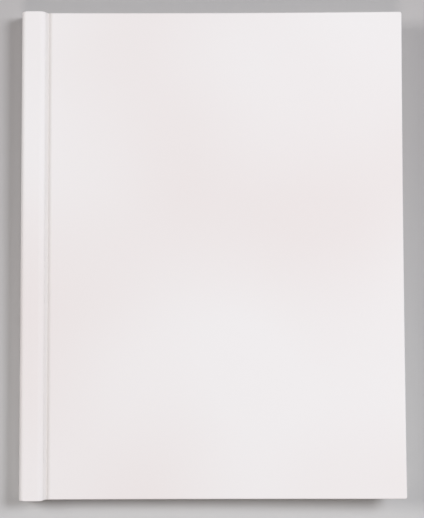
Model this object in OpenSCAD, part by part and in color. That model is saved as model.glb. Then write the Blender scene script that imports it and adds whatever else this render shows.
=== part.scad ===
// Case-bound notebook with a plain white covering, lying closed on its back cover.
// X runs from the spine to the fore edge, Y from tail to head, Z up through the pages.
// The origin is on the resting plane, under the middle of the case.
// All lengths are millimetres.

/* [Pages] */
// Width of a leaf, from the glued back to the fore edge
page_w = 215.9; // [120:0.1:260]
// Height of a leaf, from tail to head
page_h = 279.4; // [150:0.1:340]
// Thickness of the pressed leaves away from the spine
block_t = 9; // [5:0.5:30]

/* [Boards] */
// Thickness of the cover boards
board_t = 2; // [1.6:0.1:3.5]
// Reach of the boards past the leaves at head and tail
head_square = 2.5; // [2:0.5:6]
// Reach of the boards past the leaves at the fore edge
fore_square = 4.5; // [2:0.5:8]
// Radius of the board corners, seen from above
corner_r = 1; // [0.8:0.1:3]
// Radius where the covering turns over a board edge
edge_r = 0.6; // [0.5:0.05:0.9]

/* [Covering] */
// Thickness of the laminated covering paper
wrap_t = 0.25; // [0.2:0.05:0.4]
// Width of the covering turned in behind the board edges
turn_in_w = 15; // [8:1:20]

/* [Endpapers] */
// Thickness of the paper pasted inside each cover
endpaper_t = 0.2; // [0.1:0.05:0.4]
// Strip of turned-in covering left bare around the endpaper
endpaper_margin = 3; // [2:0.5:6]

/* [Spine] */
// Thickness of the board strip along the spine
spine_board_t = 2.5; // [1.5:0.1:4]
// Thickness of the cloth lining glued over the back of the leaves
lining_t = 0.25; // [0.15:0.05:0.5]
// Height of the front ridge above the front board
ridge_rise = 0.8; // [0:0.1:1.5]
// Extra length of the spine past the boards at head and tail
spine_reach = 0.8; // [0.3:0.1:1.5]

/* [Joint] */
// Distance from the back of the spine to the end of the flat ridge
ridge_w = 11.3; // [8:0.1:16]
// Width of the slope from the ridge down into the joint groove
slope_w = 4; // [2:0.1:6]
// Width of the groove floor, from the slope to the board edge
groove_w = 2; // [1:0.1:4]

/* [Bands] */
// Width of the bead at the head and tail of the back
band_w = 2; // [1.2:0.1:3]

/* [Hidden] */

// Points along each ridge slope
slope_steps = 10;
// How far a cutter reaches past the solid that it cuts
past = 1;
$fn = 64;

// Levels through the closed book, from the resting plane up
cover_t = wrap_t + board_t + wrap_t;
block_z0 = cover_t + endpaper_t;
block_z1 = block_z0 + block_t;
case_t = block_z1 + endpaper_t + cover_t;
ridge_z = case_t + ridge_rise;

// Room between the covering and the shoulders, for the lining and the turned-in covering
hem_t = max(lining_t, wrap_t);
// The covering lies this far off the leaves in the groove
joint_lift = max(hem_t, endpaper_t);
groove_front_z = block_z1 + joint_lift + wrap_t;
groove_back_z = block_z0 - joint_lift - wrap_t;

// Stations across the case, measured from the back of the spine
ridge_round = wrap_t + spine_board_t + wrap_t;
block_s0 = ridge_round + lining_t;
block_s1 = block_s0 + page_w;
groove_s0 = ridge_w + slope_w;
hinge_s = groove_s0 + groove_w / 2;
board_s0 = groove_s0 + groove_w;
board_s1 = block_s1 + fore_square;
case_w = board_s1 + wrap_t;

// Heights along the spine
board_h = page_h + 2 * head_square;
case_h = board_h + 2 * wrap_t;
spine_h = case_h + 2 * spine_reach;
spine_corner_r = 1;
lining_h = case_h - 2 * turn_in_w;

// Colours of the finished book
wrap_color = "#ecebe9";
board_color = "#9a958c";
page_color = "#f6f4ec";
endpaper_color = "#f1f0ec";
lining_color = "#e4e0d4";
band_color = "#f3f1ea";

// Share of the way down from the ridge to the groove, 0 on the ridge and 1 in the groove
function ridge_drop(s) = s <= ridge_w ? 0 : s >= groove_s0 ? 1 : (1 - cos(180 * (s - ridge_w) / slope_w)) / 2;

// Outer surface of the covering over the front and back of the spine and joint
function front_skin(s) = ridge_z - ridge_drop(s) * (ridge_z - groove_front_z);
function back_skin(s) = ridge_drop(s) * groove_back_z;

// Points across one joint, from station s0 on the ridge to station s1 in the groove
function joint_stations(s0, s1) = concat(
    [s0],
    [for (i = [0 : slope_steps]) ridge_w + slope_w * i / slope_steps],
    [s1]
);
function reversed(list) = [for (i = [len(list) - 1 : -1 : 0]) list[i]];

// Outline of everything that lies inset under the covering, from station s0 to station s1
function under_skin(inset, s0, s1) = concat(
    [for (s = joint_stations(s0, s1)) [s, front_skin(s) - inset]],
    [for (s = reversed(joint_stations(s0, s1))) [s, back_skin(s) + inset]]
);

// Reach of the spine covering past the boards, fading from the spine to the hinge line
function cap_reach(s) = s <= ridge_round ? 1 : (1 + cos(180 * (s - ridge_round) / (hinge_s - ridge_round))) / 2;

// Carries stations and levels into the frame of the part
module seat() {
    translate([-case_w / 2, 0, 0]) children();
}

// Turns what is drawn for the front cover into its match on the back cover
module flipped() {
    translate([0, 0, case_t]) mirror([0, 0, 1]) children();
}

// Draws a section of stations and levels along the height of the book
module along_spine(length) {
    rotate([90, 0, 0]) linear_extrude(height = length, center = true) children();
}

// Rectangle with round corners, from one corner point to the other
module round_rect(x0, x1, y0, y1, r) {
    translate([x0 + r, y0]) square([x1 - x0 - 2 * r, y1 - y0]);
    translate([x0, y0 + r]) square([x1 - x0, y1 - y0 - 2 * r]);
    for (x = [x0 + r, x1 - r], y = [y0 + r, y1 - r]) translate([x, y]) circle(r);
}

// Flat panel of height h with round corners and round edges
module soft_panel(s0, s1, h, z0, z1, plan_r, side_r) {
    intersection() {
        translate([0, 0, z0]) linear_extrude(height = z1 - z0) round_rect(s0, s1, -h / 2, h / 2, plan_r);
        along_spine(h) round_rect(s0, s1, z0, z1, side_r);
        translate([s0, 0, 0]) rotate([90, 0, 90]) linear_extrude(height = s1 - s0)
            round_rect(-h / 2, h / 2, z0, z1, side_r);
    }
}

// Section of the spine and both joints, inset under the covering, with the spine edges rounded
module spine_section(inset) {
    difference() {
        polygon(under_skin(inset, inset, hinge_s));
        translate([0, ridge_z - ridge_round]) spine_edge_cut(inset);
        translate([0, ridge_round]) mirror([0, 1]) spine_edge_cut(inset);
    }
}

// Corner of the spine section outside its rounded edge
module spine_edge_cut(inset) {
    difference() {
        translate([-past, 0]) square([ridge_round + past, ridge_round + past]);
        translate([ridge_round, 0]) circle(ridge_round - inset);
    }
}

// Plan of the spine covering, inset on its three outer sides, with its caps fading at the joint
module spine_plan(inset) {
    cap = [for (i = [0 : slope_steps]) ridge_round + (hinge_s - ridge_round) * i / slope_steps];
    half_h = case_h / 2 - inset;
    difference() {
        polygon(concat(
            [[inset, half_h + spine_reach]],
            [for (s = cap) [s, half_h + spine_reach * cap_reach(s)]],
            [for (s = reversed(cap)) [s, -half_h - spine_reach * cap_reach(s)]],
            [[inset, -half_h - spine_reach]]
        ));
        for (side = [0, 1]) mirror([0, side]) translate([inset, half_h + spine_reach]) plan_corner_cut(inset);
    }
}

// Corner of the spine plan outside its rounding
module plan_corner_cut(inset) {
    r = spine_corner_r - inset;
    difference() {
        translate([-past, -r]) square([r + past, r + past]);
        translate([r, -r]) circle(r);
    }
}

// Leaves glued at the back, with the back swelled into a shoulder under each ridge
module text_block() {
    inset = wrap_t + joint_lift;
    shoulder = joint_stations(block_s0, hinge_s);
    color(page_color) seat() along_spine(page_h) polygon(concat(
        [for (s = shoulder) [s, front_skin(s) - inset]],
        [[hinge_s, block_z1], [block_s1, block_z1], [block_s1, block_z0], [hinge_s, block_z0]],
        [for (s = reversed(shoulder)) [s, back_skin(s) + inset]]
    ));
}

// Cloth glued over the back of the leaves and both shoulders
module spine_lining() {
    color(lining_color) seat() along_spine(lining_h) difference() {
        polygon(under_skin(wrap_t + joint_lift - lining_t, ridge_round, hinge_s));
        polygon(under_skin(wrap_t + joint_lift, block_s0, hinge_s + past));
    }
}

// Half-round bead that finishes one end of the back
module band(end) {
    color(band_color) seat() translate([block_s0 + band_w / 2, end * page_h / 2, wrap_t + joint_lift])
        intersection() {
            cylinder(d = band_w, h = ridge_z - 2 * (wrap_t + joint_lift));
            translate([-band_w, end > 0 ? 0 : -band_w, 0]) cube([2 * band_w, band_w, ridge_z]);
        }
}

module head_band() {
    band(1);
}

module tail_band() {
    band(-1);
}

// Stiff strip along the spine, rounded under the covering
module spine_board() {
    color(board_color) seat() intersection() {
        along_spine(spine_h) intersection() {
            spine_section(wrap_t);
            square([wrap_t + spine_board_t, ridge_z]);
        }
        linear_extrude(height = ridge_z) spine_plan(wrap_t);
    }
}

// Covering of the spine and both ridges, turned in at head and tail
module spine_wrap() {
    color(wrap_color) seat() intersection() {
        difference() {
            along_spine(spine_h) spine_section(0);
            along_spine(spine_h - 2 * wrap_t) intersection() {
                spine_section(wrap_t);
                square([wrap_t + spine_board_t, ridge_z]);
            }
            along_spine(spine_h + past) polygon(under_skin(2 * wrap_t, ridge_round, hinge_s + past));
            along_spine(lining_h) polygon(under_skin(wrap_t, wrap_t + spine_board_t, hinge_s + past));
        }
        linear_extrude(height = ridge_z) spine_plan(0);
    }
}

// Grey board of the front cover
module cover_board() {
    soft_panel(
        board_s0, board_s1, board_h,
        case_t - wrap_t - board_t, case_t - wrap_t,
        corner_r, edge_r - wrap_t
    );
}

// Covering over the front board, turned in on three sides and run into the joint on the fourth
module cover_wrap() {
    window_h = board_h - 2 * turn_in_w;
    difference() {
        union() {
            soft_panel(board_s0 - wrap_t, case_w, case_h, case_t - cover_t, case_t, corner_r + wrap_t, edge_r);
            translate([hinge_s, -case_h / 2, groove_front_z - wrap_t]) cube([board_s0 - hinge_s, case_h, wrap_t]);
        }
        cover_board();
        translate([board_s0, -window_h / 2, case_t - cover_t - past])
            cube([board_s1 - turn_in_w - board_s0, window_h, past + 2 * wrap_t]);
    }
}

// Paper pasted inside the front cover, stepping up where the turned-in covering ends
module pastedown() {
    sheet_h = board_h - 2 * endpaper_margin;
    window_h = board_h - 2 * turn_in_w;
    window_w = board_s1 - turn_in_w - board_s0;
    difference() {
        union() {
            translate([hinge_s, -sheet_h / 2, block_z1])
                cube([board_s1 - endpaper_margin - hinge_s, sheet_h, endpaper_t]);
            translate([board_s0, -window_h / 2, block_z1])
                cube([window_w, window_h, endpaper_t + wrap_t]);
        }
        translate([board_s0 + endpaper_t, -window_h / 2 + endpaper_t, block_z1 - past])
            cube([window_w - 2 * endpaper_t, window_h - 2 * endpaper_t, past + wrap_t]);
    }
}

module front_board() {
    color(board_color) seat() cover_board();
}

module front_cover_wrap() {
    color(wrap_color) seat() cover_wrap();
}

module front_pastedown() {
    color(endpaper_color) seat() pastedown();
}

module back_board() {
    color(board_color) seat() flipped() cover_board();
}

module back_cover_wrap() {
    color(wrap_color) seat() flipped() cover_wrap();
}

module back_pastedown() {
    color(endpaper_color) seat() flipped() pastedown();
}

text_block();
spine_lining();
head_band();
tail_band();
spine_board();
spine_wrap();
front_board();
front_cover_wrap();
front_pastedown();
back_board();
back_cover_wrap();
back_pastedown();
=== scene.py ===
"""Case-bound lined notebook with a plain white covering, lying closed on its back cover."""
import logging
import math
import random
from dataclasses import dataclass, field
from enum import Enum
from functools import partial
from typing import Callable, Sequence

import bpy
from bpy.types import Material, Node, NodeSocket, NodeTree, Object
from mathutils import Euler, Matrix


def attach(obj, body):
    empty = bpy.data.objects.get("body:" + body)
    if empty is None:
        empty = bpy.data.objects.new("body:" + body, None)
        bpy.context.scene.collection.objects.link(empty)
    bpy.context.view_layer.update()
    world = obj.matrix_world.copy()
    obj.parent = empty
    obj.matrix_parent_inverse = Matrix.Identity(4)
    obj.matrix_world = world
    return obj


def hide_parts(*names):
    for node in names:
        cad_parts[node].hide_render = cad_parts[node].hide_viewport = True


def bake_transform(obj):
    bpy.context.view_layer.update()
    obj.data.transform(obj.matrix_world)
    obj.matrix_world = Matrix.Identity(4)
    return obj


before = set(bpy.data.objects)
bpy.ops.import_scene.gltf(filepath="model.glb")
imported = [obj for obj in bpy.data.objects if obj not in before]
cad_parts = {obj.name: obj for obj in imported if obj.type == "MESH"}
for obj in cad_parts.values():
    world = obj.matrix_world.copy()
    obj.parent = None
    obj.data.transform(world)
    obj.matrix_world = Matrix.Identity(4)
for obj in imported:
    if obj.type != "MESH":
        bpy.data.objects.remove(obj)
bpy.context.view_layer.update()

LOG = logging.getLogger("notebook")
MM = 0.001
# Millimetres that keep the faces of neighbouring pieces apart.
CLEARANCE = 0.02
# Equal stations or shares may differ by this much.
TINY = 0.001
# Most values of a noise texture lie between these two, so they are spread to the whole range.
NOISE_LOW = 0.35
NOISE_HIGH = 0.65

Point = tuple[float, float, float]
Section = Callable[[float], float]


class Side(Enum):
    """The two covers of the closed book."""

    FRONT = "front"
    BACK = "back"


def smooth_step(share: float) -> float:
    """Returns a cosine ramp from 0 to 1 for a share that is cut off at 0 and 1."""
    return (1 - math.cos(math.pi * min(1.0, max(0.0, share)))) / 2


def spread(start: float, end: float, steps: int) -> list[float]:
    """Returns steps + 1 evenly spaced values from start to end."""
    return [start + (end - start) * i / steps for i in range(steps + 1)]


def quarter_turn(steps: int) -> list[float]:
    """Returns steps + 1 even angles of a quarter turn, in radians, from 0 on."""
    return [math.radians(90 * i / steps) for i in range(steps + 1)]


def merged(*lists: Sequence[float], apart: float = CLEARANCE) -> list[float]:
    """Joins lists of values into one rising list without near repeats.

    Args:
        lists: the values, in any order.
        apart: values closer than this count as one.

    Returns:
        The values in rising order.
    """
    kept: list[float] = []
    for value in sorted(v for values in lists for v in values):
        if not kept or value - kept[-1] > apart:
            kept.append(value)
    return kept


@dataclass(frozen=True)
class BookSizes:
    """Lengths of the book in millimetres, as the part's source has them.

    Stations run from the outer face of the spine to the fore edge, levels from the resting plane up.
    """

    page_w: float = 215.9
    page_h: float = 279.4
    block_t: float = 9.0
    board_t: float = 2.0
    head_square: float = 2.5
    fore_square: float = 4.5
    corner_r: float = 1.0
    edge_r: float = 0.6
    wrap_t: float = 0.25
    turn_in_w: float = 15.0
    endpaper_t: float = 0.2
    endpaper_margin: float = 3.0
    spine_board_t: float = 2.5
    lining_t: float = 0.25
    ridge_rise: float = 0.8
    spine_reach: float = 0.8
    ridge_w: float = 11.3
    slope_w: float = 4.0
    groove_w: float = 2.0
    band_w: float = 2.0

    @property
    def cover_t(self) -> float:
        """Thickness of a board with its covering on both faces."""
        return 2 * self.wrap_t + self.board_t

    @property
    def block_z0(self) -> float:
        """Level of the last page."""
        return self.cover_t + self.endpaper_t

    @property
    def block_z1(self) -> float:
        """Level of the first page."""
        return self.block_z0 + self.block_t

    @property
    def case_t(self) -> float:
        """Thickness of the closed book at its boards."""
        return self.block_z1 + self.endpaper_t + self.cover_t

    @property
    def ridge_z(self) -> float:
        """Level of the front ridge of the spine."""
        return self.case_t + self.ridge_rise

    @property
    def spine_r(self) -> float:
        """Radius of the spine's two long edges."""
        return 2 * self.wrap_t + self.spine_board_t

    @property
    def block_s0(self) -> float:
        """Station of the glued back of the leaves."""
        return self.spine_r + self.lining_t

    @property
    def block_s1(self) -> float:
        """Station of the leaves' fore edge."""
        return self.block_s0 + self.page_w

    @property
    def shoulder_s1(self) -> float:
        """Station where the shoulders of the leaves have run out."""
        return self.ridge_w + self.slope_w

    @property
    def board_s0(self) -> float:
        """Station of a board's edge beside the joint."""
        return self.shoulder_s1 + self.groove_w

    @property
    def board_s1(self) -> float:
        """Station of a board's fore edge."""
        return self.block_s1 + self.fore_square

    @property
    def case_w(self) -> float:
        """Width of the closed book."""
        return self.board_s1 + self.wrap_t

    @property
    def board_h(self) -> float:
        """Height of a board."""
        return self.page_h + 2 * self.head_square

    @property
    def case_h(self) -> float:
        """Height of a covered board."""
        return self.board_h + 2 * self.wrap_t

    @property
    def window_h(self) -> float:
        """Height of the window inside the turned-in covering."""
        return self.board_h - 2 * self.turn_in_w

    @property
    def window_s1(self) -> float:
        """Station where the covering turned in over the fore edge ends."""
        return self.board_s1 - self.turn_in_w

    def place(self, s: float, y: float, z: float) -> Point:
        """Returns the point of the frame, in metres, at a station, height and level in millimetres."""
        return ((s - self.case_w / 2) * MM, y * MM, z * MM)


BOOK = BookSizes()


@dataclass(frozen=True)
class JointShape:
    """The covering over the spine ridges and the joint grooves, in millimetres.

    The covering rolls off the ridge more and more steeply, turns at the bottom of a soft V, and comes up
    short and steep over the board's edge.
    """

    ridge_end: float = 10.4
    groove_s: float = 15.9
    crest_s: float = 18.5
    groove_depth: float = 1.4
    roll_power: float = 1.6
    bottom_round: float = 0.5
    round_reach: float = 2.0
    reach_s: float = 12.0
    reach_end: float = 16.2
    seam_s: float = 14.2
    fold_start: float = 15.4
    fold_end: float = 17.2
    # Station at the middle of the shade painted along the joint groove, and how far that shade reaches.
    painted_shade_s: float = 15.7
    painted_shade_w: float = 2.8

    def dip(self, s: float, ridge: float) -> float:
        """Returns how far the covering lies under the board's face at a station.

        Args:
            s: the station.
            ridge: how far the ridge stands over the board's face.

        Returns:
            The depth, negative on the ridge.
        """
        share = max(0.0, (s - self.ridge_end) / (self.groove_s - self.ridge_end))
        roll = (self.groove_depth + ridge) * share ** self.roll_power - ridge
        left = max(0.0, (self.crest_s - s) / (self.crest_s - self.groove_s))
        climb = self.groove_depth * left * left
        near = max(0.0, 1 - ((s - self.groove_s) / self.round_reach) ** 2)
        soft = self.bottom_round * near * near
        return (climb + roll - math.hypot(climb - roll, soft)) / 2

    def front_skin(self, s: float) -> float:
        """Returns the level of the covering's outer face over the front at a station."""
        return BOOK.case_t - self.dip(s, BOOK.ridge_rise)

    def back_skin(self, s: float) -> float:
        """Returns the level of the covering's outer face under the back of the spine at a station."""
        return self.dip(s, 0.0)

    def painted_groove_shade(self, s: float) -> float:
        """Returns how strongly shade is painted on the covering along the joint groove at a station, from 0
        to 1.
        """
        return smooth_step(1 - abs(s - self.painted_shade_s) / self.painted_shade_w)

    def end_y(self, s: float) -> float:
        """Returns the height at which the spine covering ends at a station, longest at the spine."""
        fade = smooth_step((s - self.reach_s) / (self.reach_end - self.reach_s))
        return BOOK.case_h / 2 + BOOK.spine_reach * (1 - fade)


JOINT = JointShape()


@dataclass(frozen=True)
class BoardWarp:
    """How far a board has curled away from the leaves, in millimetres.

    Laminated board dries hollow on its inner side, so the fore edge lifts and its two corners lift most.
    """

    fore_lift: float
    corner_lift: float
    start_s: float = 24.0

    def lift(self, s: float, y: float) -> float:
        """Returns the lift at a station and height."""
        u = max(0.0, (s - self.start_s) / (BOOK.case_w - self.start_s))
        v = y / (BOOK.case_h / 2)
        return u * u * (self.fore_lift + self.corner_lift * v * v)


@dataclass
class MeshMaker:
    """Collects the points and faces of one piece in the book's own stations, heights and levels."""

    side: Side = Side.FRONT
    warp: BoardWarp = BoardWarp(0.0, 0.0)
    points: list[Point] = field(default_factory=list)
    faces: list[tuple[int, ...]] = field(default_factory=list)

    def row(self, points: Sequence[Point]) -> list[int]:
        """Adds a row of points, given as for the front cover.

        Args:
            points: station, height and level of each point.

        Returns:
            The numbers of the new points.
        """
        first = len(self.points)
        for s, y, z in points:
            level = z + self.warp.lift(s, y)
            self.points.append(BOOK.place(s, y, BOOK.case_t - level if self.side is Side.BACK else level))
        return list(range(first, len(self.points)))

    def face(self, *corners: int) -> None:
        """Adds one face, seen anticlockwise on the front cover."""
        self.faces.append(corners[::-1] if self.side is Side.BACK else corners)

    def bridge(
        self, row: list[int], following: list[int], skip: Callable[[int], bool] | None = None,
    ) -> None:
        """Joins two rows with quads.

        Args:
            row: the first row.
            following: the next row, with as many points.
            skip: says which quads, numbered along the row, are left open.
        """
        for j in range(len(row) - 1):
            if skip is None or not skip(j):
                self.face(row[j], following[j], following[j + 1], row[j + 1])

    def strip(self, rows: list[list[int]]) -> None:
        """Joins each row with the one before it."""
        for row, following in zip(rows, rows[1:]):
            self.bridge(following, row)

    def build(self, name: str, smooth: bool = True) -> Object:
        """Makes the object.

        Args:
            name: name of the piece.
            smooth: whether the faces are shaded smooth.

        Returns:
            The new object, linked to the scene.
        """
        mesh = bpy.data.meshes.new(name)
        mesh.from_pydata(self.points, [], self.faces)
        mesh.update()
        mesh.polygons.foreach_set("use_smooth", [smooth] * len(mesh.polygons))
        made = bpy.data.objects.new(name, mesh)
        bpy.context.scene.collection.objects.link(made)
        return made


def thicken(piece: Object, thickness: float) -> None:
    """Gives a sheet its thickness, in millimetres, behind the face that shows."""
    solid = piece.modifiers.new("sheet thickness", "SOLIDIFY")
    solid.thickness = thickness * MM
    solid.offset = -1
    solid.use_rim = True


def mark_painted_groove_shade(piece: Object) -> None:
    """Stores on each point of a covering how strongly shade is painted there along the joint groove, for its
    material.
    """
    layer = piece.data.attributes.new("painted_groove_shade", "FLOAT", "POINT")
    stations = [point.co.x / MM + BOOK.case_w / 2 for point in piece.data.vertices]
    layer.data.foreach_set("value", [JOINT.painted_groove_shade(s) for s in stations])


def dress(piece: Object, material: Material) -> None:
    """Gives every face of a piece one material."""
    piece.data.materials.clear()
    piece.data.materials.append(material)


def linear(hex_colour: str) -> tuple[float, float, float, float]:
    """Turns an sRGB hex colour, such as #edeaea, into linear red, green, blue and alpha."""
    values = [int(hex_colour[i:i + 2], 16) / 255 for i in (1, 3, 5)]
    shades = [v / 12.92 if v <= 0.04045 else ((v + 0.055) / 1.055) ** 2.4 for v in values]
    return (shades[0], shades[1], shades[2], 1.0)


def per_metre(size_mm: float) -> float:
    """Returns the texture scale whose pattern repeats about every size_mm millimetres."""
    return 1 / (size_mm * MM)


def add_node(
    tree: NodeTree, kind: str, inputs: dict | None = None, **settings: object,
) -> Node:
    """Adds one node with its settings, values and links.

    Args:
        tree: the tree that gets the node.
        kind: Blender's name for the kind of node.
        inputs: for each socket, by name or number, its value, its sRGB hex colour, or the output, or node
            with its first output, that is linked to it.
        settings: the node's own settings.

    Returns:
        The new node.
    """
    made = tree.nodes.new(kind)
    for name, value in settings.items():
        setattr(made, name, value)
    for key, value in (inputs or {}).items():
        if isinstance(value, Node):
            value = value.outputs[0]
        if isinstance(value, NodeSocket):
            tree.links.new(value, made.inputs[key])
        else:
            made.inputs[key].default_value = linear(value) if isinstance(value, str) else value
    return made


def new_material(name: str) -> tuple[Material, Callable[..., Node], NodeSocket]:
    """Makes a material that holds only the object coordinates, which its patterns follow.

    Args:
        name: name of the material.

    Returns:
        The material, the call that adds a node to it, and the output that gives the coordinates.
    """
    material = bpy.data.materials.new(name)
    material.use_nodes = True
    material.node_tree.nodes.clear()
    add = partial(add_node, material.node_tree)
    return material, add, add("ShaderNodeTexCoord").outputs["Object"]


def close_material(
    material: Material, base: str, layers: Sequence[tuple[object, str]], values: dict,
) -> Material:
    """Ends a material with its colours, laid over one another, and its shader.

    Args:
        material: the material.
        base: sRGB hex colour under the others.
        layers: pairs of a share, from 0 to 1, and the sRGB hex colour that shows by that share.
        values: the shader's other values and links.

    Returns:
        The same material.
    """
    add = partial(add_node, material.node_tree)
    shown: object = base
    for share, colour in layers:
        shown = add("ShaderNodeMix", {0: share, 6: shown, 7: colour}, data_type="RGBA").outputs[2]
    shader = add("ShaderNodeBsdfPrincipled", {"Base Color": shown, **values})
    add("ShaderNodeOutputMaterial", {"Surface": shader})
    return material


@dataclass(frozen=True)
class LaminatedPaper:
    """Offset paper laminated with a satin polypropylene film and glued over board."""

    pale: str = "#ebe9ea"
    warm: str = "#e7e1e1"
    # Grey of the shade painted along the joint groove.
    painted_groove_grey: str = "#d9d5d4"
    roughness: float = 0.6
    roughness_play: float = 0.03
    film_ior: float = 1.49
    tone_size: float = 150.0
    wave_size: float = 70.0
    wave_depth: float = 0.12
    fibre_size: float = 1.1
    fibre_depth: float = 0.006

    def build(self) -> Material:
        """Returns the material: a smooth, slightly warm white with a soft, even sheen and shade painted
        along the joint groove.
        """
        material, add, coords = new_material("satin_laminated_paper")
        # The paper's white drifts a little between cooler and warmer across a whole cover.
        tone = add("ShaderNodeTexNoise", {
            "Vector": coords, "Scale": per_metre(self.tone_size), "Detail": 1.0, "Roughness": 0.4})
        drift = add("ShaderNodeMapRange", {"Value": tone, "From Min": NOISE_LOW, "From Max": NOISE_HIGH})
        # Shade is painted greyer along the joint groove, because light between its two white slopes fills it
        # too much.
        painted_groove_shade = add("ShaderNodeAttribute", attribute_name="painted_groove_shade").outputs["Fac"]
        # Glue and board leave long, very shallow waves, which soften the film's reflections.
        wave = add("ShaderNodeTexNoise", {
            "Vector": coords, "Scale": per_metre(self.wave_size), "Detail": 2.0, "Roughness": 0.45})
        swell = add("ShaderNodeBump", {"Strength": 0.5, "Distance": self.wave_depth * MM, "Height": wave})
        # Paper fibres print through the film as a fine mottle, too small to see from above.
        fibre = add("ShaderNodeTexNoise", {
            "Vector": coords, "Scale": per_metre(self.fibre_size), "Detail": 4.0, "Roughness": 0.6})
        mottle = add("ShaderNodeBump", {
            "Strength": 0.6, "Distance": self.fibre_depth * MM, "Height": fibre, "Normal": swell})
        gloss = add("ShaderNodeMapRange", {
            "Value": fibre, "From Min": 0.3, "From Max": 0.7,
            "To Min": self.roughness - self.roughness_play, "To Max": self.roughness + self.roughness_play})
        return close_material(material, self.warm, [(drift, self.pale), (painted_groove_shade, self.painted_groove_grey)], {
            "Roughness": gloss, "IOR": self.film_ior, "Normal": mottle})


@dataclass(frozen=True)
class RuledPaper:
    """Uncoated wood-free writing paper, ruled in pale ink and cut by guillotine."""

    sheet: str = "#f4f2e9"
    shade: str = "#ece8dc"
    ink: str = "#a9b7c6"
    # Darker grey painted in the gaps between the leaves' cut edges: painted shade.
    groove: str = "#d2cdbf"
    roughness: float = 0.85
    line_pitch: float = 7.14
    line_width: float = 0.4
    line_count: int = 34
    head_margin: float = 28.0
    flat_facing: float = 0.6
    page_ink: float = 0.72
    edge_ink: float = 0.1
    fibre_size: float = 1.6
    leaf_pitch: float = 0.32
    leaf_stretch: float = 0.012
    cut_relief: float = -3.0

    def build(self) -> Material:
        """Returns the material: matte cream paper, faint ruled lines and the grain of stacked leaves, with
        shade painted in the gaps between them.
        """
        material, add, coords = new_material("ruled_writing_paper")
        place = add("ShaderNodeSeparateXYZ", {"Vector": coords})
        facing = add("ShaderNodeSeparateXYZ", {"Vector": coords.node.outputs["Normal"]})
        fibre = add("ShaderNodeTexNoise", {
            "Vector": coords, "Scale": per_metre(self.fibre_size), "Detail": 4.0, "Roughness": 0.65})
        # Leaves of 0.1 mm are too thin to part from afar, so the grain of the cut edges is drawn coarser.
        squeezed = add("ShaderNodeMapping", {
            "Vector": coords, "Scale": (self.leaf_stretch, self.leaf_stretch, 1.0)})
        grain = add("ShaderNodeTexNoise", {
            "Vector": squeezed, "Scale": per_metre(self.leaf_pitch), "Detail": 3.0, "Roughness": 0.7})
        deep = add("ShaderNodeMapRange", {
            "Value": grain, "From Min": 0.42, "From Max": 0.68, "To Max": 0.85})
        # Lines run across the whole leaf, drawn 0.4 mm wide, twice the real width, so that they show.
        pitch, width = self.line_pitch * MM, self.line_width * MM
        sums = {"up": facing.outputs["Z"], "y": place.outputs["Y"], "deep": deep, "fibre": fibre}
        for name, operation, *terms in (
            ("upright", "ABSOLUTE", "up"),
            ("page", "GREATER_THAN", "upright", self.flat_facing),
            ("below", "SUBTRACT", (BOOK.page_h / 2 - self.head_margin) * MM, "y"),
            ("near", "PINGPONG", "below", pitch / 2),
            ("line", "LESS_THAN", "near", width / 2),
            ("started", "GREATER_THAN", "below", -width),
            ("ended", "LESS_THAN", "below", (self.line_count - 0.5) * pitch),
            ("within", "MULTIPLY", "started", "ended"),
            ("ruled", "MULTIPLY", "line", "within"),
            ("strength", "MULTIPLY_ADD", "page", self.page_ink, self.edge_ink),
            ("inked", "MULTIPLY", "ruled", "strength"),
            ("side", "SUBTRACT", 1.0, "page"),
            ("cut", "MULTIPLY", "deep", "side"),
            ("sunk", "MULTIPLY", "cut", self.cut_relief),
            ("height", "ADD", "fibre", "sunk"),
        ):
            inputs = {i: sums.get(term, term) for i, term in enumerate(terms)}
            sums[name] = add("ShaderNodeMath", inputs, operation=operation)
        relief = add("ShaderNodeBump", {"Strength": 0.35, "Distance": 0.02 * MM, "Height": sums["height"]})
        # The gaps between leaves are really sunk by the bump, and their darker grey is painted shade.
        layers = [(fibre, self.sheet), (sums["inked"], self.ink), (sums["cut"], self.groove)]
        return close_material(material, self.shade, layers, {"Roughness": self.roughness, "Normal": relief})


@dataclass(frozen=True)
class EndpaperStock:
    """Heavy uncoated white paper, pasted down with glue."""

    sheet: str = "#f0eee9"
    shade: str = "#e6e3dc"
    roughness: float = 0.8
    fibre_size: float = 2.2
    cockle_size: float = 26.0

    def build(self) -> Material:
        """Returns the material: matte white paper with a fine fibre and faint cockles from the glue."""
        material, add, coords = new_material("uncoated_endpaper")
        fibre = add("ShaderNodeTexNoise", {
            "Vector": coords, "Scale": per_metre(self.fibre_size), "Detail": 5.0, "Roughness": 0.7})
        cockle = add("ShaderNodeTexNoise", {
            "Vector": coords, "Scale": per_metre(self.cockle_size), "Detail": 1.0})
        waves = add("ShaderNodeBump", {"Strength": 0.4, "Distance": 0.12 * MM, "Height": cockle})
        relief = add("ShaderNodeBump", {
            "Strength": 0.4, "Distance": 0.02 * MM, "Height": fibre, "Normal": waves})
        return close_material(material, self.shade, [(fibre, self.sheet)], {
            "Roughness": self.roughness, "Normal": relief})


@dataclass(frozen=True)
class GreyBoard:
    """Binder's board, pressed from recycled paper fibre."""

    dark: str = "#8d877c"
    light: str = "#aaa499"
    roughness: float = 0.95
    fleck_size: float = 0.9

    def build(self) -> Material:
        """Returns the material: dull warm grey with dark and light flecks."""
        material, add, coords = new_material("recycled_greyboard")
        fleck = add("ShaderNodeTexNoise", {
            "Vector": coords, "Scale": per_metre(self.fleck_size), "Detail": 6.0, "Roughness": 0.75})
        share = add("ShaderNodeMapRange", {"Value": fleck, "From Min": NOISE_LOW, "From Max": NOISE_HIGH})
        relief = add("ShaderNodeBump", {"Strength": 0.5, "Distance": 0.05 * MM, "Height": fleck})
        return close_material(material, self.dark, [(share, self.light)], {
            "Roughness": self.roughness, "Normal": relief})


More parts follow.
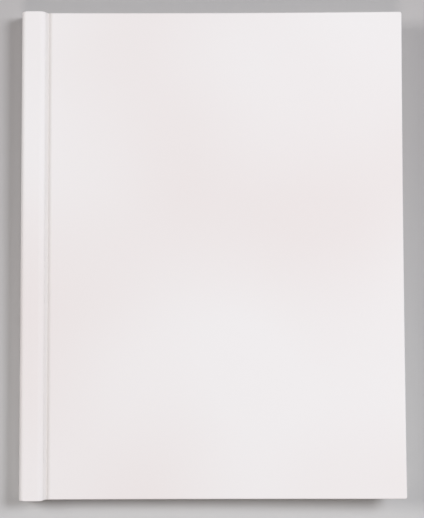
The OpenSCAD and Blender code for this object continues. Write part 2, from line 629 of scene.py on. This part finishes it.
@dataclass(frozen=True)
class MullCloth:
    """Open-weave cotton mull, stiffened with glue."""

    thread: str = "#e6e0d0"
    gap: str = "#c8bfa9"
    roughness: float = 0.9
    thread_pitch: float = 0.9
    band_share: float = 0.31

    def build(self) -> Material:
        """Returns the material: pale threads crossing over darker, glue-filled gaps."""
        material, add, coords = new_material("cotton_mull")
        # A wave texture has one band about every 0.31 of a unit, so its scale is that share of the pitch.
        scale = self.band_share * per_metre(self.thread_pitch)
        along, across, upward = (
            add("ShaderNodeTexWave", {"Vector": coords, "Scale": scale, "Distortion": 0.6, "Detail": 1.0},
                bands_direction=direction).outputs["Fac"]
            for direction in "XYZ"
        )
        crossed = add("ShaderNodeMath", {0: across, 1: along}, operation="MAXIMUM")
        woven = add("ShaderNodeMath", {0: crossed, 1: upward}, operation="MULTIPLY")
        relief = add("ShaderNodeBump", {"Strength": 0.6, "Distance": 0.1 * MM, "Height": woven})
        return close_material(material, self.gap, [(woven, self.thread)], {
            "Roughness": self.roughness, "Normal": relief})


@dataclass(frozen=True)
class BandCotton:
    """Mercerised cotton thread, wound round a cord."""

    thread: str = "#f3efe4"
    shadow: str = "#d9d2c0"
    roughness: float = 0.7
    sheen: float = 0.25
    twist_size: float = 0.25
    twist_stretch: float = 0.3

    def build(self) -> Material:
        """Returns the material: off-white thread with a soft sheen along its turns."""
        material, add, coords = new_material("wound_cotton_thread")
        stretched = add("ShaderNodeMapping", {
            "Vector": coords, "Scale": (self.twist_stretch, self.twist_stretch, 1.0)})
        twist = add("ShaderNodeTexNoise", {
            "Vector": stretched, "Scale": per_metre(self.twist_size), "Detail": 3.0})
        relief = add("ShaderNodeBump", {"Strength": 0.5, "Distance": 0.03 * MM, "Height": twist})
        return close_material(material, self.shadow, [(twist, self.thread)], {
            "Roughness": self.roughness, "Sheen Weight": self.sheen, "Normal": relief})


@dataclass(frozen=True)
class StudioPaper:
    """Matte grey background paper under the book."""

    # Greys of the painted light: lighter at the tail, darker at the head.
    near: str = "#c4c4c5"
    far: str = "#b4b2b3"
    fade_y: float = 0.15
    roughness: float = 0.95
    mottle_size: float = 3.0

    def build(self) -> Material:
        """Returns the material: a dull grey with painted light, lighter towards the book's tail and darker
        towards its head.
        """
        material, add, coords = new_material("matte_background_paper")
        mottle = add("ShaderNodeTexNoise", {
            "Vector": coords, "Scale": per_metre(self.mottle_size), "Detail": 4.0})
        place = add("ShaderNodeSeparateXYZ", {"Vector": coords})
        # Painted light: the grey brightens from the head to the tail, as if more lamplight fell there.
        fade = add("ShaderNodeMapRange", {
            "Value": place.outputs["Y"], "From Min": -self.fade_y, "From Max": self.fade_y},
            interpolation_type="SMOOTHSTEP")
        relief = add("ShaderNodeBump", {"Strength": 0.2, "Distance": 0.03 * MM, "Height": mottle})
        return close_material(material, self.near, [(fade, self.far)], {
            "Roughness": self.roughness, "Normal": relief})


@dataclass(frozen=True)
class Finishes:
    """The materials of the book, each made once."""

    covering: Material
    pages: Material
    endpaper: Material
    greyboard: Material
    lining_cloth: Material
    band_cotton: Material

    @classmethod
    def make(cls) -> "Finishes":
        """Returns the finished set."""
        return cls(
            covering=LaminatedPaper().build(),
            pages=RuledPaper().build(),
            endpaper=EndpaperStock().build(),
            greyboard=GreyBoard().build(),
            lining_cloth=MullCloth().build(),
            band_cotton=BandCotton().build(),
        )


@dataclass(frozen=True)
class Panel:
    """A flat form with round edges and round fore corners, lofted from the joint to the fore edge.

    Every cut across it is a closed loop: along the outer face from tail to head, down round the head edge,
    back along the inner face, and up round the tail edge.
    """

    stations: list[float]
    flats: list[float]
    outer: Section
    inner: Section
    half_h: Section
    edge_r: Section
    arc_steps: int = 5
    side_flat: float = 0.005

    def loop(self, s: float) -> list[Point]:
        """Returns the points of the cut at a station."""
        top, low = self.outer(s), self.inner(s)
        r = min(self.edge_r(s), (top - low) / 2 - self.side_flat)
        reach = self.half_h(s) - r
        turn = quarter_turn(self.arc_steps)
        over = [(reach + r * math.sin(a), top - r * (1 - math.cos(a))) for a in turn]
        under = [(reach + r * math.cos(a), low + r * (1 - math.sin(a))) for a in turn]
        head = [(s, y, z) for y, z in over + under]
        tail = [(s, -y, z) for y, z in reversed(over + under)]
        across = [f * reach for f in self.flats]
        return (
            [(s, y, top) for y in across]
            + head[1:-1]
            + [(s, y, low) for y in reversed(across)]
            + tail[1:-1]
        )

    @property
    def side_steps(self) -> int:
        """Number of quads round one edge, from the outer to the inner face."""
        return 2 * self.arc_steps + 1

    def loft(self, maker: MeshMaker, window: tuple[float, float] | None, close_start: bool) -> None:
        """Adds the form's faces.

        Args:
            maker: the mesh that gets them.
            window: station and height up to which the inner face is left open, or None.
            close_start: whether the form is closed beside the joint too.
        """
        rows = [maker.row(self.loop(s)) for s in self.stations]
        count = len(self.flats)
        first_inner = count - 1 + self.side_steps
        for i in range(len(rows) - 1):
            s = self.stations[i + 1]
            open_here = window is not None and s <= window[0] + TINY
            reach = self.half_h(s) - self.edge_r(s)

            def in_window(j: int) -> bool:
                """Says whether a quad lies in the open window."""
                k = j - first_inner
                if not open_here or k < 0 or k >= count - 1:
                    return False
                middle = (self.flats[count - 1 - k] + self.flats[count - 2 - k]) / 2
                return abs(middle * reach) < window[1]

            maker.bridge(rows[i] + rows[i][:1], rows[i + 1] + rows[i + 1][:1], in_window)
        self.cap(maker, rows[-1], False)
        if close_start:
            self.cap(maker, rows[0], True)

    def cap(self, maker: MeshMaker, row: list[int], start: bool) -> None:
        """Closes one end of the form.

        Args:
            maker: the mesh that gets the faces.
            row: the loop at the end.
            start: whether it is the end beside the joint.
        """
        count = len(self.flats)
        half = self.side_steps // 2
        full = len(row)
        pairs = [
            ((count - 1 + k) % full, (count - 1 + self.side_steps - k) % full) for k in range(half + 1)
        ]
        across = [(j, (count - 1 + self.side_steps + count - 1 - j) % full) for j in range(count)]
        tail = [((-k) % full, (2 * count - 2 + self.side_steps + k) % full) for k in range(1, half + 1)]
        ladder = tail[::-1] + across + pairs[1:]
        for (a, b), (c, d) in zip(ladder, ladder[1:]):
            corners = (row[a], row[b], row[d], row[c])
            maker.face(*(corners[::-1] if start else corners))


@dataclass
class Cover:
    """One cover: its board, the covering round it and the endpaper inside it.

    A gap is the distance, in millimetres, of a mesh row from the bend or edge beside it.
    """

    side: Side
    warp: BoardWarp
    finishes: Finishes
    row_count: int = 24
    joint_columns: int = 16
    body_columns: int = 24
    edge_columns: int = 4
    ramp_columns: int = 6
    fore_steps: int = 10
    sheet_rows: int = 10
    crest_gaps: tuple[float, float] = (0.6, 4.0)
    fore_gaps: tuple[float, float] = (3.5, 1.7)
    side_gaps: tuple[float, float] = (0.5, 2.0)
    hem_gap: float = 6.0
    board_gap: float = 3.0
    paste_gaps: tuple[float, float] = (2.0, 5.0)
    sheet_t: float = 0.24
    hem_r: float = 0.24
    hem_blend: float = 1.2
    step_ramp: float = 1.2
    fold_margin: float = 0.2

    @property
    def body(self) -> str:
        """Name of the body that the cover belongs to."""
        return f"{self.side.value}_cover"

    def flat_rows(self, half: float, marks: Sequence[float]) -> list[float]:
        """Returns shares of a half height for the rows across a face, with a row at each mark.

        Args:
            half: half height of the flat part, in millimetres.
            marks: heights that get a row of their own, in millimetres.

        Returns:
            The shares, from -1 to 1.
        """
        ups = merged(spread(0, 1, self.row_count // 2), [m / half for m in marks], apart=TINY)
        return [-f for f in reversed(ups) if f > 0] + ups

    def fore_stations(self, end: float, corner: float) -> list[float]:
        """Returns stations that close in on the fore edge round its corners."""
        return [end - corner + corner * math.sin(a) for a in quarter_turn(self.fore_steps)]

    @staticmethod
    def fore_round(end: float, radius: float) -> Section:
        """Returns how far a face has dropped at a station near a fore edge with a round profile."""
        def drop(s: float) -> float:
            """Returns the drop at a station."""
            past = min(radius, max(0.0, s - (end - radius)))
            return radius - math.sqrt(radius * radius - past * past)
        return drop

    def covering(self) -> Object:
        """Builds the covering round the board, turned in on three sides and run into the joint.

        Returns:
            The piece.
        """
        end = BOOK.case_w
        corner = BOOK.corner_r + BOOK.wrap_t
        drop = self.fore_round(end, BOOK.edge_r)
        side_drop = self.fore_round(end, corner)
        wall_s = BOOK.board_s0 - BOOK.wrap_t
        inner_z = BOOK.case_t - BOOK.cover_t

        def outer(s: float) -> float:
            """Returns the level of the outer face."""
            return JOINT.front_skin(s) - drop(s)

        def inner(s: float) -> float:
            """Returns the level of the inner face, which steps down round the board's edge."""
            hem = JOINT.front_skin(s) - 2 * BOOK.wrap_t
            down = smooth_step((s - wall_s) / BOOK.wrap_t)
            return hem + (inner_z - hem) * down + drop(s)

        def edge_r(s: float) -> float:
            """Returns the radius of the head and tail edges."""
            return self.hem_r + (BOOK.edge_r - self.hem_r) * smooth_step((s - wall_s) / self.hem_blend)

        flat = BOOK.case_h / 2 - BOOK.edge_r
        # Rows crowd where the sheet bends: in the joint, over the board's edge and round the fore edge.
        panel = Panel(
            stations=merged(
                spread(JOINT.seam_s, JOINT.fold_start, self.edge_columns),
                spread(JOINT.fold_start, wall_s, self.joint_columns),
                spread(wall_s, BOOK.board_s0, self.edge_columns),
                spread(BOOK.board_s0, JOINT.crest_s, self.ramp_columns),
                [JOINT.crest_s + self.crest_gaps[0]],
                spread(JOINT.crest_s + self.crest_gaps[1], BOOK.window_s1, self.body_columns),
                [BOOK.window_s1 + self.hem_gap, *(end - gap for gap in self.fore_gaps)],
                self.fore_stations(end, corner),
                self.fore_stations(end, BOOK.edge_r),
            ),
            flats=self.flat_rows(flat, [BOOK.window_h / 2, *(flat - gap for gap in self.side_gaps)]),
            outer=outer,
            inner=inner,
            half_h=lambda s: JOINT.end_y(s) - side_drop(s),
            edge_r=edge_r,
        )
        maker = MeshMaker(self.side, self.warp)
        panel.loft(maker, (BOOK.window_s1, BOOK.window_h / 2), close_start=False)
        piece = maker.build(f"{self.side.value}_covering")
        mark_painted_groove_shade(piece)
        dress(piece, self.finishes.covering)
        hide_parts(f"{self.side.value}_cover_wrap")
        self.bend(piece, JOINT.groove_s, JOINT.fold_end)
        thicken(piece, self.sheet_t)
        return piece

    def endpaper(self) -> Object:
        """Builds the sheet pasted inside the cover, which shows the step of the turned-in covering.

        Returns:
            The piece.
        """
        half = BOOK.board_h / 2 - BOOK.endpaper_margin
        end = BOOK.board_s1 - BOOK.endpaper_margin
        ramp, margin = self.step_ramp, self.fold_margin
        before, past = self.paste_gaps
        start = BOOK.board_s0 + margin
        edge_s, edge_y = BOOK.window_s1, BOOK.window_h / 2

        def level(s: float, y: float) -> float:
            """Returns the level of the sheet's visible face."""
            sunk = (
                smooth_step((s - start) / ramp)
                * smooth_step((edge_s - s) / ramp)
                * smooth_step((edge_y - abs(y)) / ramp)
            )
            return BOOK.block_z1 + CLEARANCE + sunk * BOOK.wrap_t

        columns = merged(
            spread(JOINT.groove_s - margin, JOINT.fold_end + margin, self.joint_columns),
            spread(start, start + ramp, self.ramp_columns),
            spread(BOOK.board_s0 + self.hem_gap, edge_s - ramp - before, self.body_columns),
            spread(edge_s - ramp, edge_s, self.ramp_columns),
            [edge_s + past, end],
        )
        ups = merged(
            spread(0, edge_y - ramp - before, self.sheet_rows),
            spread(edge_y - ramp, edge_y, self.ramp_columns), [edge_y + past, half])
        heights = [-y for y in reversed(ups) if y > 0] + ups
        maker = MeshMaker(self.side, self.warp)
        maker.strip([maker.row([(s, y, level(s, y)) for y in heights]) for s in columns])
        piece = maker.build(f"{self.side.value}_endpaper")
        dress(piece, self.finishes.endpaper)
        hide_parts(f"{self.side.value}_pastedown")
        self.bend(piece, JOINT.groove_s, JOINT.fold_end)
        thicken(piece, BOOK.endpaper_t - CLEARANCE)
        return piece

    def board(self) -> Object:
        """Builds the grey board with the cover's warp.

        Returns:
            The piece, which moves with the cover.
        """
        start, end = BOOK.board_s0, BOOK.board_s1
        radius = BOOK.edge_r - BOOK.wrap_t
        fore = self.fore_round(end, radius)
        back = self.fore_round(-start, radius)
        corner_drop = self.fore_round(end, BOOK.corner_r)
        back_corner = self.fore_round(-start, BOOK.corner_r)
        flat = BOOK.board_h / 2 - radius
        panel = Panel(
            stations=merged(
                [start + end - s for s in self.fore_stations(end, BOOK.corner_r)],
                spread(start + self.board_gap, end - self.board_gap, self.body_columns),
                self.fore_stations(end, BOOK.corner_r),
                self.fore_stations(end, radius),
            ),
            flats=self.flat_rows(flat, [flat - self.side_gaps[0]]),
            outer=lambda s: BOOK.case_t - BOOK.wrap_t - fore(s) - back(-s),
            inner=lambda s: BOOK.case_t - BOOK.wrap_t - BOOK.board_t + fore(s) + back(-s),
            half_h=lambda s: BOOK.board_h / 2 - corner_drop(s) - back_corner(-s),
            edge_r=lambda s: radius,
        )
        maker = MeshMaker(self.side, self.warp)
        panel.loft(maker, None, close_start=True)
        piece = maker.build(f"{self.side.value}_greyboard")
        dress(piece, self.finishes.greyboard)
        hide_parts(f"{self.side.value}_board")
        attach(piece, self.body)
        return piece

    def bend(self, piece: Object, start_s: float, end_s: float) -> None:
        """Bakes a sheet's placement into its points.

        Args:
            piece: the sheet.
            start_s: not used.
            end_s: not used.
        """
        level = BOOK.block_z1
        self.body
        BOOK.place(start_s, 0, level)
        BOOK.place(end_s, 0, level)
        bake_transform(piece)

    def build(self) -> list[Object]:
        """Returns every piece of the cover."""
        return [self.covering(), self.endpaper(), self.board()]


@dataclass
class Spine:
    """The covering over the spine and its ridges, and what it hides. Gaps are as for a cover."""

    finishes: Finishes
    arc_steps: int = 10
    slope_steps: int = 16
    row_steps: int = 18
    hem_steps: int = 8
    hem_r: float = 0.25
    cap_r: float = 1.0
    sheet_t: float = 0.24
    web_steps: int = 6
    top_steps: tuple[int, int] = (2, 4)
    top_gaps: tuple[float, float, float] = (1.2, 2.0, 0.5)
    web_gap: float = 0.4
    even_share: float = 0.94
    end_shares: tuple[float, ...] = (0.98, 0.996)

    def profile(self) -> list[tuple[Point, Point]]:
        """Returns pairs of outer and inner points, from the front groove round the spine to the back one.

        The inner point is where the turned-in covering lies behind the outer one. Both have a height of 0.
        """
        r, top = BOOK.spine_r, BOOK.ridge_z
        double = 2 * BOOK.wrap_t
        close, clear, last = self.top_gaps
        stations = merged(
            spread(r, r + close, self.top_steps[0]),
            spread(r + clear, JOINT.ridge_end - last, self.top_steps[1]),
            spread(JOINT.ridge_end, JOINT.seam_s, self.slope_steps))
        turn = quarter_turn(self.arc_steps)[1:]
        web = [(r - r * math.sin(a), top - r + r * math.cos(a)) for a in turn]
        web += [(0.0, z) for z in spread(top - r - self.web_gap, r + self.web_gap, self.web_steps)]
        web += [(r - r * math.cos(a), r - r * math.sin(a)) for a in [0.0] + turn[:-1]]
        shrink = (top - 2 * double) / top
        front = [
            ((s, 0.0, JOINT.front_skin(s)), (s, 0.0, JOINT.front_skin(s) - double))
            for s in reversed(stations)
        ]
        back = [((s, 0.0, JOINT.back_skin(s)), (s, 0.0, JOINT.back_skin(s) + double)) for s in stations]
        return front + [((s, 0.0, z), (r, 0.0, double + z * shrink)) for s, z in web] + back

    def end_rows(self, thick: float) -> list[tuple[float, float]]:
        """Returns the way over the head end as pairs: share of the thickness and distance back from the end.

        Args:
            thick: distance from the outer to the turned-in sheet, in millimetres.

        Returns:
            The pairs, from the outer face to the turned-in edge.
        """
        inner_r = min(self.hem_r, thick / 2)
        outer_r = min(self.cap_r, thick - inner_r)
        angles = quarter_turn(self.hem_steps)
        over = [(outer_r * (1 - math.cos(a)), outer_r * (1 - math.sin(a))) for a in angles]
        under = [(thick - inner_r * (1 - math.sin(a)), inner_r * (1 - math.cos(a))) for a in angles]
        return [(depth / thick, back) for depth, back in over + under]

    def covering(self) -> Object:
        """Builds the covering of the spine, turned in at head and tail.

        Returns:
            The piece, which stays with the block.
        """
        maker = MeshMaker()
        rows = []
        for outer, inner in self.profile():
            thick = math.dist(outer, inner)
            end = JOINT.end_y(outer[0])
            over = self.end_rows(thick)
            flat = end - over[0][1]
            hem = [(share, end - back) for share, back in over] + [(1.0, end - BOOK.turn_in_w)]
            even = self.even_share * flat
            ends = [f * flat for f in self.end_shares]
            marks = [-y for y in reversed(ends)] + spread(-even, even, self.row_steps) + ends
            way = [(share, -y) for share, y in reversed(hem)] + [(0.0, y) for y in marks] + hem
            rows.append(maker.row([
                (outer[0] + (inner[0] - outer[0]) * share, y, outer[2] + (inner[2] - outer[2]) * share)
                for share, y in way
            ]))
        maker.strip(rows)
        piece = maker.build("spine_covering")
        mark_painted_groove_shade(piece)
        dress(piece, self.finishes.covering)
        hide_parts("spine_wrap")
        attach(piece, "book_block")
        thicken(piece, self.sheet_t)
        return piece

    def build(self) -> list[Object]:
        """Returns every piece of the spine, with the hidden board and lining dressed."""
        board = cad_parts["spine_board"]
        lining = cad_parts["spine_lining"]
        dress_node(board, self.finishes.greyboard)
        dress_node(lining, self.finishes.lining_cloth)
        return [self.covering(), board, lining]


def dress_node(node: Object, material: Material) -> None:
    """Gives every material slot of a carried-over node one material."""
    for slot in node.material_slots:
        slot.material = material


@dataclass
class Leaves:
    """The ruled leaves, glued at the back and swelled there into two shoulders."""

    finishes: Finishes
    leaf_count: int = 90
    fore_scatter: float = 0.11
    end_scatter: float = 0.06
    point_scatter: float = 0.02
    valley: float = 0.035
    back_columns: int = 3
    shoulder_columns: int = 10
    page_columns: int = 9
    page_gap: float = 2.0
    row_steps: int = 14
    seed: int = 41

    def swelled(self, s: float, page: float, shoulder: float, limit: float) -> float:
        """Returns the level of an outermost page, swelled to the shoulder but kept inside the covering.

        Args:
            s: the station.
            page: the page's level where it is flat.
            shoulder: its level at the shoulder.
            limit: its furthest level under the covering.

        Returns:
            The middle one of the flat level, the swelled level and the limit.
        """
        slope = smooth_step((s - BOOK.ridge_w) / BOOK.slope_w)
        return sorted((page, shoulder + slope * (page - shoulder), limit))[1]

    def top(self, s: float) -> float:
        """Returns the level of the first page at a station."""
        double = 2 * BOOK.wrap_t
        return self.swelled(
            s, BOOK.block_z1, BOOK.ridge_z - double, JOINT.front_skin(s) - double - CLEARANCE)

    def low(self, s: float) -> float:
        """Returns the level of the last page at a station."""
        double = 2 * BOOK.wrap_t
        return self.swelled(s, BOOK.block_z0, double, JOINT.back_skin(s) + double + CLEARANCE)

    def outline(self, columns: list[float], heights: list[float]) -> list[tuple[int, int]]:
        """Returns the column and row numbers round the leaves, anticlockwise from the back's tail corner."""
        last, high = len(columns) - 1, len(heights) - 1
        return (
            [(i, 0) for i in range(last)]
            + [(last, j) for j in range(high)]
            + [(i, high) for i in range(last, 0, -1)]
            + [(0, j) for j in range(high, 0, -1)]
        )

    def block(self) -> Object:
        """Builds the stack of leaves as one closed form whose edges show each leaf.

        Returns:
            The piece, which stays with the block.
        """
        chance = random.Random(self.seed)
        columns = merged(
            spread(BOOK.block_s0, BOOK.ridge_w, self.back_columns),
            spread(BOOK.ridge_w, BOOK.shoulder_s1, self.shoulder_columns),
            spread(BOOK.shoulder_s1 + self.page_gap, BOOK.block_s1, self.page_columns))
        heights = spread(-BOOK.page_h / 2, BOOK.page_h / 2, self.row_steps)
        around = self.outline(columns, heights)
        maker = MeshMaker()
        rings = []
        levels = 2 * self.leaf_count
        for level in range(levels + 1):
            if level % 2 == 0:
                fore, head, tail = (-self.valley,) * 3
            else:
                fore = chance.uniform(-self.fore_scatter, self.fore_scatter)
                head = chance.uniform(-self.end_scatter, self.end_scatter)
                tail = chance.uniform(-self.end_scatter, self.end_scatter)
            ring = []
            for i, j in around:
                s, y = columns[i], heights[j]
                z = self.low(s) + (self.top(s) - self.low(s)) * level / levels
                if i == len(columns) - 1:
                    s += fore + chance.uniform(-self.point_scatter, self.point_scatter)
                if j == len(heights) - 1:
                    y += head
                if j == 0:
                    y -= tail
                ring.append((s, y, z))
            rings.append(maker.row(ring))
        for ring, above in zip(rings, rings[1:]):
            for j in range(len(ring)):
                k = (j + 1) % len(ring)
                maker.face(ring[j], ring[k], above[k], above[j])
        self.page(maker, columns, heights, around, rings[-1], self.top, True)
        self.page(maker, columns, heights, around, rings[0], self.low, False)
        piece = maker.build("ruled_leaves", smooth=False)
        dress(piece, self.finishes.pages)
        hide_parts("text_block")
        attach(piece, "book_block")
        return piece

    def page(
        self, maker: MeshMaker, columns: list[float], heights: list[float],
        around: list[tuple[int, int]], ring: list[int], level: Section, upward: bool,
    ) -> None:
        """Closes the stack with the first or the last page.

        Args:
            maker: the mesh that gets the faces.
            columns: stations of the grid.
            heights: heights of the grid.
            around: column and row numbers round the outside.
            ring: the points round the outside, in the same order.
            level: the page's level at a station.
            upward: whether the page faces up.
        """
        numbers = dict(zip(around, ring))
        for i in range(1, len(columns) - 1):
            inside = maker.row([(columns[i], y, level(columns[i])) for y in heights[1:-1]])
            for j, number in enumerate(inside, start=1):
                numbers[(i, j)] = number
        for i in range(len(columns) - 1):
            for j in range(len(heights) - 1):
                quad = (numbers[(i, j)], numbers[(i + 1, j)], numbers[(i + 1, j + 1)], numbers[(i, j + 1)])
                maker.face(*(quad if upward else quad[::-1]))

    def build(self) -> list[Object]:
        """Returns the stack of leaves."""
        return [self.block()]


@dataclass
class EndBand:
    """A cord wound with thread, glued to one end of the back of the leaves."""

    name: str
    end: int
    finishes: Finishes
    turn_pitch: float = 0.55
    turn_depth: float = 0.07
    round_steps: int = 14
    steps_per_turn: int = 6
    end_taper: float = 0.25
    taper_turns: float = 1.5
    glue_sink: float = 0.05

    def build(self) -> list[Object]:
        """Returns the band, with its wound threads standing proud."""
        radius = BOOK.band_w / 2
        low, high = 2 * BOOK.wrap_t, BOOK.ridge_z - 2 * BOOK.wrap_t
        turns = round((high - low) / self.turn_pitch)
        centre_s = BOOK.block_s0 + radius
        face_y = self.end * BOOK.page_h / 2
        maker = MeshMaker()
        rows = []
        for i in range(turns * self.steps_per_turn + 1):
            share = i / (turns * self.steps_per_turn)
            swell = abs(math.sin(math.pi * share * turns))
            near_end = smooth_step(1 - min(share, 1 - share) * turns / self.taper_turns)
            rounded = 1 - self.end_taper * near_end
            r = (radius - self.turn_depth * (1 - swell)) * rounded
            rows.append(maker.row([
                (centre_s + r * math.cos(a), face_y + self.end * (r * math.sin(a) - self.glue_sink),
                 low + (high - low) * share)
                for a in [math.pi * k / self.round_steps for k in range(self.round_steps + 1)]
            ]))
        for row, above in zip(rows, rows[1:]):
            if self.end > 0:
                maker.bridge(above + above[:1], row + row[:1])
            else:
                maker.bridge(row + row[:1], above + above[:1])
        for row, upward in ((rows[0], False), (rows[-1], True)):
            maker.face(*(row if upward == (self.end > 0) else row[::-1]))
        piece = maker.build(f"{self.name}_wound")
        dress(piece, self.finishes.band_cotton)
        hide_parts(self.name)
        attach(piece, "book_block")
        return [piece]


@dataclass(frozen=True)
class SoftBox:
    """One broad, square studio lamp."""

    name: str
    place: Point
    watts: float
    colour: str
    width: float = 0.7

    def build(self) -> Object:
        """Returns the lamp, turned towards the book."""
        data = bpy.data.lights.new(self.name, "AREA")
        data.shape = "RECTANGLE"
        data.size = data.size_y = self.width
        data.energy = self.watts
        data.color = linear(self.colour)[:3]
        lamp = bpy.data.objects.new(self.name, data)
        lamp.location = self.place
        x, y, z = self.place
        lamp.rotation_euler = Euler((math.atan2(math.hypot(x, y), z), 0.0, math.atan2(y, x) + math.pi / 2))
        bpy.context.scene.collection.objects.link(lamp)
        return lamp


@dataclass(frozen=True)
class Studio:
    """The floor, the lamps and the camera above the book."""

    floor_size: float = 8.0
    floor_steps: int = 8
    world_colour: str = "#e4e6ea"
    world_strength: float = 0.08
    backdrop_strength: float = 0.7
    camera_place: Point = (-0.0157, -0.06, 0.831)
    camera_turn: Point = (3.967, -1.086, -0.136)
    lens: float = 97.3
    sensor: float = 36.0

    def lamps(self) -> list[SoftBox]:
        """Returns the lamps."""
        return [
            SoftBox("right_softbox", (1.223, 0.397, 1.532), 28.0, "#fafcff"),
            SoftBox("left_softbox", (-1.442, 0.360, 1.338), 18.2, "#fffdfa"),
            SoftBox("tail_softbox", (0.0, -1.286, 1.532), 8.9, "#fff4ee"),
        ]

    def floor(self) -> Object:
        """Builds the floor just under the book.

        Returns:
            The floor.
        """
        half = self.floor_size / MM / 2
        marks = spread(-half, half, self.floor_steps)
        maker = MeshMaker()
        rows = [maker.row([(x + BOOK.case_w / 2, y, 0.0) for y in marks]) for x in marks]
        maker.strip(rows[::-1])
        floor = maker.build("studio_floor", smooth=False)
        dress(floor, StudioPaper().build())
        return floor

    def world(self) -> None:
        """Lights the scene softly from all round."""
        world = bpy.data.worlds.new("studio_air")
        bpy.context.scene.world = world
        world.use_nodes = True
        world.node_tree.nodes.clear()
        add = partial(add_node, world.node_tree)
        # Seen straight, or in a sheen, the room is a pale backdrop. Only its dim air lights the book.
        air, backdrop = (
            add("ShaderNodeBackground", {"Color": self.world_colour, "Strength": strength})
            for strength in (self.world_strength, self.backdrop_strength)
        )
        path = add("ShaderNodeLightPath")
        seen = path.outputs["Is Camera Ray"]
        for ray in ("Is Glossy Ray", "Is Transmission Ray"):
            seen = add("ShaderNodeMath", {0: seen, 1: path.outputs[ray]}, operation="MAXIMUM")
        room = add("ShaderNodeMixShader", {0: seen, 1: air, 2: backdrop})
        add("ShaderNodeOutputWorld", {"Surface": room})

    def camera(self) -> Object:
        """Builds the camera almost straight above the book.

        Returns:
            The camera, set as the scene's own.
        """
        data = bpy.data.cameras.new("camera")
        data.lens = self.lens
        data.sensor_width = self.sensor
        data.dof.use_dof = False
        camera = bpy.data.objects.new("camera", data)
        camera.location = self.camera_place
        camera.rotation_euler = Euler([math.radians(a) for a in self.camera_turn])
        bpy.context.scene.collection.objects.link(camera)
        bpy.context.scene.camera = camera
        return camera

    def build(self) -> None:
        """Makes the whole studio."""
        bpy.context.scene.view_settings.view_transform = "Standard"
        self.floor()
        self.world()
        for lamp in self.lamps():
            lamp.build()
        self.camera()


def main() -> None:
    """Builds the book and the studio, and reports each piece."""
    logging.basicConfig(level=logging.INFO, format="%(name)s: %(message)s")
    finishes = Finishes.make()
    parts = [
        Leaves(finishes),
        EndBand("head_band", 1, finishes),
        EndBand("tail_band", -1, finishes),
        Spine(finishes),
        Cover(Side.FRONT, BoardWarp(fore_lift=2.6, corner_lift=2.8), finishes),
        Cover(Side.BACK, BoardWarp(fore_lift=0.0, corner_lift=0.0), finishes),
    ]
    for part in parts:
        for piece in part.build():
            LOG.info("%s: %d faces", piece.name, len(piece.data.polygons))
    Studio().build()


if __name__ == "__main__":
    main()
